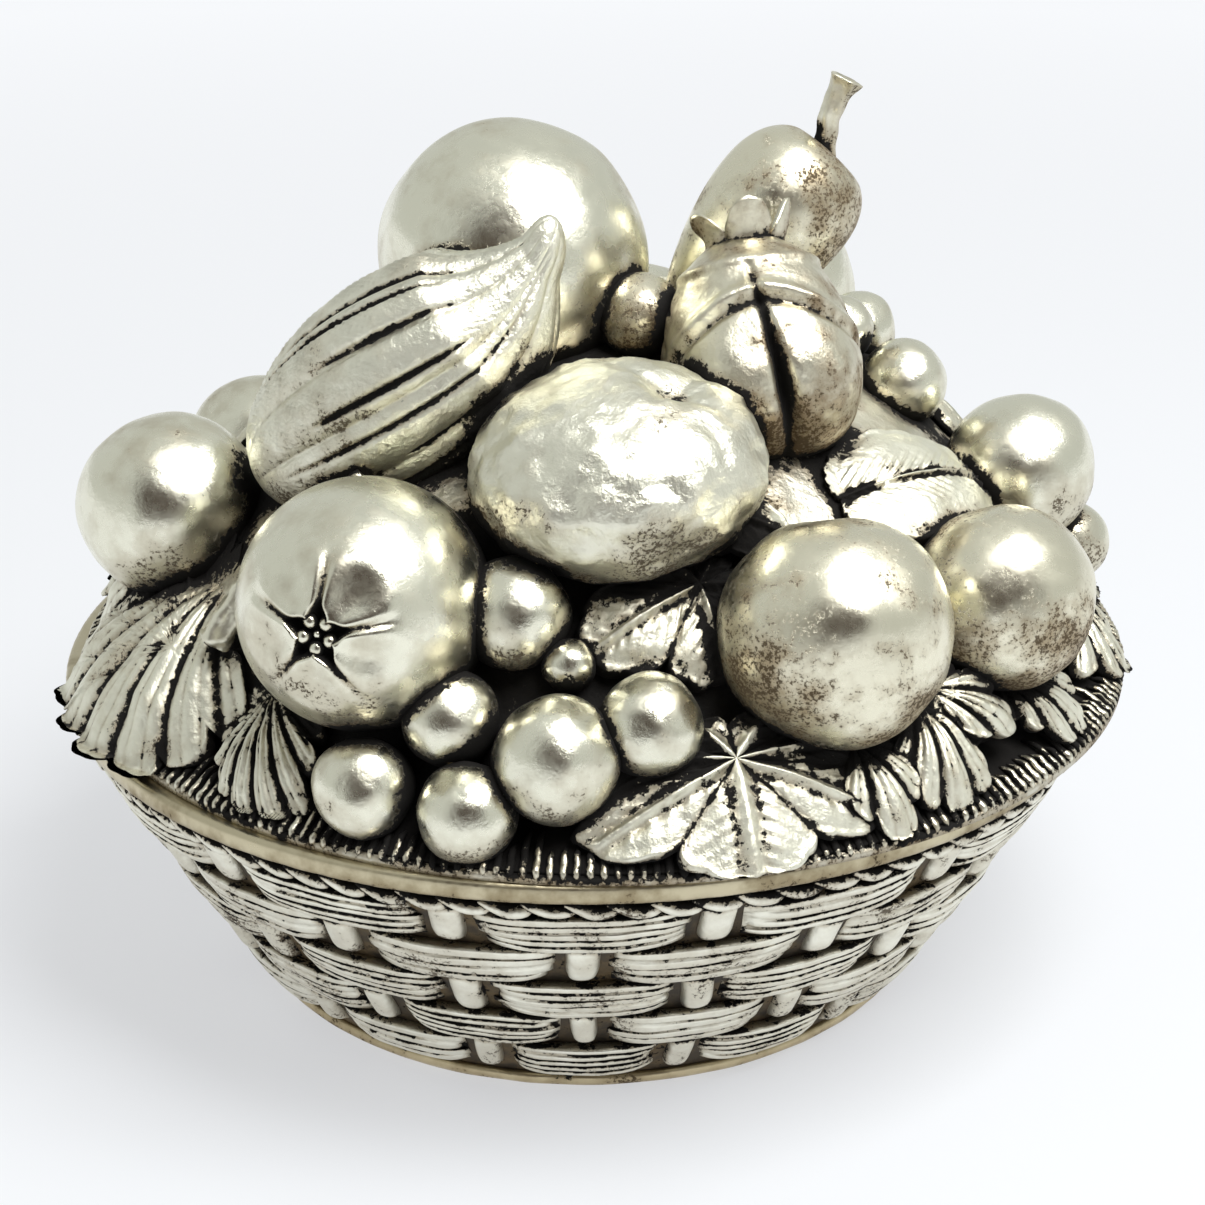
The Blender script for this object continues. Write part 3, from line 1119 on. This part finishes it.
def leaf_shape(leaf, seed):
    """A leaf on its curved plate: its outline, puffed lobes and veins follow the angle round its heart."""
    name, bearing, tilt, lift, lean, spin, length, width, lobes, curl, fingers, fan = leaf
    turn = (Matrix.Rotation(math.radians(bearing), 3, "Z") @ Matrix.Rotation(math.radians(lean), 3, "Y")
            @ Matrix.Rotation(math.radians(spin), 3, "Z"))
    middle = over_mound(bearing, tilt, lift)
    around, rings = (240, 40) if length > 20 else (160, 26)
    teeth = 22
    tops, lows, lines = [], [], []
    shift = Vector((seed * 2.3, seed * 5.1, 0))

    def reach_at(a):
        lobe = 0.10 * math.cos(lobes * a) if fingers else 0.30 * abs(math.cos(lobes * a / 2)) ** 0.55 - 0.24
        return length * (0.545 + 0.234 * math.cos(a)) * (0.94 + lobe)

    back = math.radians(fan) + math.pi
    root = Vector((math.cos(back), math.sin(back) * width / (1.05 * length))) * reach_at(back) * 0.85

    def spot(s, a):
        outline = reach_at(a)
        fan_at = Vector((outline * math.cos(a), outline * math.sin(a) * width / (1.05 * length))) - root
        fan_angle = math.remainder(math.atan2(fan_at.y, fan_at.x) - math.radians(fan), 2 * math.pi)
        if fingers:
            long_one = 0.5 + 0.5 * math.sin(2.7 * fan_angle + seed)
            outline *= 0.70 + 0.05 * long_one + 0.29 * abs(math.cos(fingers * fan_angle / 2)) ** 0.5
        else:
            notch = abs(math.sin(teeth * a / 2 + 0.6 * math.sin(3 * a + seed)))
            outline *= 0.955 + 0.05 * notch ** 0.6
        reach = s * outline
        x, y = reach * math.cos(a), reach * math.sin(a) * width / (1.05 * length)
        line = 0.0
        if fingers:
            from_root = Vector((x, y)) - root
            far = from_root.length / length
            fan_angle = math.remainder(math.atan2(from_root.y, from_root.x) - math.radians(fan), 2 * math.pi)
            phase = abs(math.cos(fingers * fan_angle / 2))
            high = 1.1 * (phase ** 0.6 - 0.6) * min(1, 3 * far) + 0.4 * math.sin(math.pi * min(1, s)) ** 0.5
            fine = abs(math.cos(fingers * 1.5 * fan_angle))
            high += 0.3 * (fine - 0.5) * min(1, 3 * far)
            line = max(0.95 * (1 - phase) ** 3, 0.62 * (1 - fine) ** 3) * min(1, 4 * far)
            line = max(line, 0.9 * math.exp(-(far / 0.16) ** 2))
        else:
            lobe_angle = round(a * lobes / (2 * math.pi)) * 2 * math.pi / lobes
            off = a - lobe_angle
            along, side = reach * math.cos(off), reach * math.sin(off)
            high = 0.9 * abs(math.cos(lobes * off / 2)) ** 0.6 * math.sin(math.pi * min(1, s ** 1.3)) ** 0.6 - 0.2
            vein = math.exp(-(side / (0.42 * (1.15 - 0.7 * s))) ** 2) * min(1, 6 * (1.02 - s))
            gap = max(1.9, length * 0.062)
            branch_at = (along - abs(side) * 0.9) / gap + (0.5 if side > 0 else 0)
            branch = math.exp(-((branch_at - round(branch_at)) * gap / 0.26) ** 2) * min(1, abs(side) / 0.8)
            branch *= max(0.0, 1 - abs(side) / (length * 0.24)) ** 0.5 * (0.15 < s < 0.97)
            high += 0.65 * vein + 0.42 * branch - 0.35 * math.exp(-((abs(side) - 1.0) / 0.45) ** 2) * min(1, 4 * s)
            beside_vein = 0.75 * math.exp(-((abs(side) - 0.95) / 0.42) ** 2)
            beside_branch = (0.75 * math.exp(-(((branch_at - round(branch_at)) * gap - 0.5) / 0.28) ** 2)
                             * min(1, abs(side) / 0.8) * max(0.0, 1 - abs(side) / (length * 0.24)))
            line = max(beside_vein, beside_branch) * min(1, 4 * s) * (1 - 0.5 * s)
            line = max(line, 0.9 * (1 - abs(math.cos(lobes * off / 2))) ** 5 * min(1, 3 * s))
        flat_spot = Vector((x, y, 0))
        high += 0.6 * noise.noise(flat_spot / 6 + shift) + 0.10 * noise.noise(flat_spot / 1.3 + shift)
        roll = 0.45 * math.exp(-((s - 0.93) / 0.05) ** 2) - 0.9 * max(0.0, s - 0.94) / 0.06
        x -= 0.28 * length
        dome = math.sqrt(max(0.0, curl * curl - x * x - y * y)) - curl
        normal = Vector((x, y, dome + curl)).normalized()
        base = Vector((x, y, dome))
        return base + normal * (leaf_t / 2 + high + roll), base - normal * leaf_t * 0.5, line

    for i in range(1, rings + 1):
        s = (i / rings) ** 0.85
        for j in range(around):
            top, low, line = spot(s, 2 * math.pi * j / around - math.pi)
            tops.append(settled(middle + turn @ top, 0.9))
            lows.append(settled(middle + turn @ low, 0.1))
            lines.append(line)
    heart_top, heart_low = spot(0.0, 0.0)[:2]
    count = rings * around
    points = tops + lows + [settled(middle + turn @ heart_top, 0.9), settled(middle + turn @ heart_low, 0.1)]
    faces = grid_faces(rings, around)
    faces += [tuple(count + k for k in reversed(face)) for face in grid_faces(rings, around)]
    faces += [((j + 1) % around, j, 2 * count) for j in range(around)]
    faces += [(count + j, count + (j + 1) % around, 2 * count + 1) for j in range(around)]
    last = (rings - 1) * around
    faces += [(last + j, last + (j + 1) % around, count + last + (j + 1) % around, count + last + j)
              for j in range(around)]
    return points, faces, lines + [0.0] * count + [lines[0], 0.0]


leaf_finish = plated("leaf_silver", Silver=(0.83, 0.82, 0.69, 1), Fill=0.56, Specks=0.8, Staining=0.35,
                     Polish=0.44, Ripple=2.4)
side_seed = 20
for seed, leaf in enumerate(LEAVES):
    cast(f"{leaf[0]}_cast", on_lid(leaf_shape(leaf, seed)), "lid", "leaf_silver", leaf_finish, [leaf[0]])
for seed, leaf in enumerate(SIDE_LEAVES, side_seed):
    cast(f"leaf_{leaf[0]}_cast", on_lid(leaf_shape(leaf, seed)), "lid", "leaf_silver", leaf_finish, ["leaves_side"])

# ---- Antiquing ----
# The box was dipped black and polished, so the black stays wherever a cloth can't reach. Each point of each piece
# is given how closed in it is, by how much its own body hides of the space over it, and how far it faces down.
cloth_reach = 6.5
closed_gain = 2.3
looks_out = 9


def close_in(pieces):
    """Writes the attributes hollow and under on the pieces of one body."""
    corners, polygons = [], []
    for piece in pieces:
        data = piece.data
        start = len(corners)
        corners += [v.co / MM for v in data.vertices]
        polygons += [tuple(start + k for k in face.vertices) for face in data.polygons]
    tree = BVHTree.FromPolygons(corners, polygons)
    ways = []
    for k in range(looks_out):
        height = 1 - (k + 0.5) / looks_out * 0.8
        angle = 2.39996 * k
        ways.append((math.sqrt(1 - height * height), angle, height))
    total = sum(w[2] for w in ways)
    for piece in pieces:
        data = piece.data
        count = len(data.vertices)
        normals = np.zeros(count * 3, np.float32)
        data.vertex_normals.foreach_get("vector", normals)
        normals = normals.reshape(-1, 3)
        closed = np.zeros(count, np.float32)
        for i, vertex in enumerate(data.vertices):
            normal = Vector(normals[i])
            side = normal.orthogonal().normalized()
            other = normal.cross(side)
            spot = vertex.co / MM + normal * 0.06
            start_angle = (i * 0.618) % 1 * 6.283
            hidden = 0.0
            for flat, angle, height in ways:
                angle += start_angle
                way = side * (flat * math.cos(angle)) + other * (flat * math.sin(angle)) + normal * height
                distance = tree.ray_cast(spot, way, cloth_reach)[3]
                if distance is not None:
                    hidden += height * (1 - distance / cloth_reach)
            closed[i] = min(1.0, closed_gain * hidden / total)
        ends = np.zeros(len(data.edges) * 2, np.int32)
        data.edges.foreach_get("vertices", ends)
        ends = ends.reshape(-1, 2)
        for _ in range(2):
            summed, counts = closed.copy(), np.ones(count, np.float32)
            np.add.at(summed, ends[:, 0], closed[ends[:, 1]])
            np.add.at(summed, ends[:, 1], closed[ends[:, 0]])
            np.add.at(counts, ends.ravel(), 1)
            closed = summed / counts
        if "line" in data.attributes:
            lines = np.zeros(count, np.float32)
            data.attributes["line"].data.foreach_get("value", lines)
            closed = np.maximum(closed, closed * 0.5 + lines * 0.62)
            data.attributes.remove(data.attributes["line"])
        data.attributes.new("hollow", "FLOAT", "POINT").data.foreach_set("value", closed)
        under = np.clip(0.35 - normals[:, 2], 0, 1)
        data.attributes.new("under", "FLOAT", "POINT").data.foreach_set("value", under)


for pieces in made_pieces.values():
    close_in(pieces)

# ---- Table, backdrop and light ----
# A pale table that runs out of sight, a big soft lamp overhead to the right, and a dim room behind the camera.
table_mesh = bpy.data.meshes.new("table")
reach = 6.0
table_z = -0.0002
table_corners = [(x * reach, y * reach, table_z) for x, y in ((-1, -1), (1, -1), (1, 1), (-1, 1))]
table_mesh.from_pydata(table_corners, [], [(0, 1, 2, 3)])
table = bpy.data.objects.new("table", table_mesh)
bpy.context.collection.objects.link(table)
table_paint = bpy.data.materials.new("table_paint")
table_paint.use_nodes = True
paint = table_paint.node_tree.nodes["Principled BSDF"]
paint.inputs["Base Color"].default_value = (0.30, 0.31, 0.32, 1)
paint.inputs["Roughness"].default_value = 0.8
paint.inputs["Specular IOR Level"].default_value = 0.2
paint.inputs["Emission Color"].default_value = (0.96, 0.97, 1.0, 1)
floor = table_paint.node_tree
floor_place = add_node(floor, "ShaderNodeTexCoord").outputs["Object"]
floor_far = add_node(floor, "ShaderNodeVectorMath", [(0, floor_place)], operation="LENGTH").outputs["Value"]
floor_glow = add_node(floor, "ShaderNodeMapRange", [("Value", floor_far), ("From Min", 0.1), ("From Max", 0.9),
                                                    ("To Min", 0.56), ("To Max", 0.76)])
floor.links.new(floor_glow.outputs["Result"], paint.inputs["Emission Strength"])
table.data.materials.append(table_paint)

world = bpy.data.worlds.new("studio")
world.use_nodes = True
sky = world.node_tree
way = add_node(sky, "ShaderNodeTexCoord").outputs["Generated"]
to_camera = (camera.location - look_at * MM).normalized()
toward = add_node(sky, "ShaderNodeVectorMath", [(0, way), (1, to_camera)], operation="DOT_PRODUCT")
dim = add_node(sky, "ShaderNodeMapRange", [
    ("Value", toward.outputs["Value"]), ("From Min", math.cos(math.radians(46))),
    ("From Max", math.cos(math.radians(16)))], interpolation_type="SMOOTHSTEP")
room = add_node(sky, "ShaderNodeMix", [("Factor", dim.outputs["Result"]), (6, (0.80, 0.82, 0.80, 1)),
                                       (7, (0.055, 0.032, 0.020, 1))], data_type="RGBA")
seen = add_node(sky, "ShaderNodeLightPath").outputs["Is Camera Ray"]
plain = add_node(sky, "ShaderNodeMix", [("Factor", seen), (6, room.outputs[2]), (7, (1.20, 1.21, 1.25, 1))],
                 data_type="RGBA")
background = sky.nodes["Background"]
sky.links.new(plain.outputs[2], background.inputs["Color"])
background.inputs["Strength"].default_value = 0.75
bpy.context.scene.world = world
bpy.context.scene.view_settings.view_transform = "Standard"

lamp_data = bpy.data.lights.new("soft_lamp", "AREA")
lamp_data.energy = 4.6
lamp_data.size = 0.34
lamp = bpy.data.objects.new("soft_lamp", lamp_data)
bpy.context.collection.objects.link(lamp)
lamp.location = (0.20, -0.20, 0.60)
lamp.rotation_euler = (Vector((0, 0, 0.06)) - lamp.location).to_track_quat("-Z", "Y").to_euler()
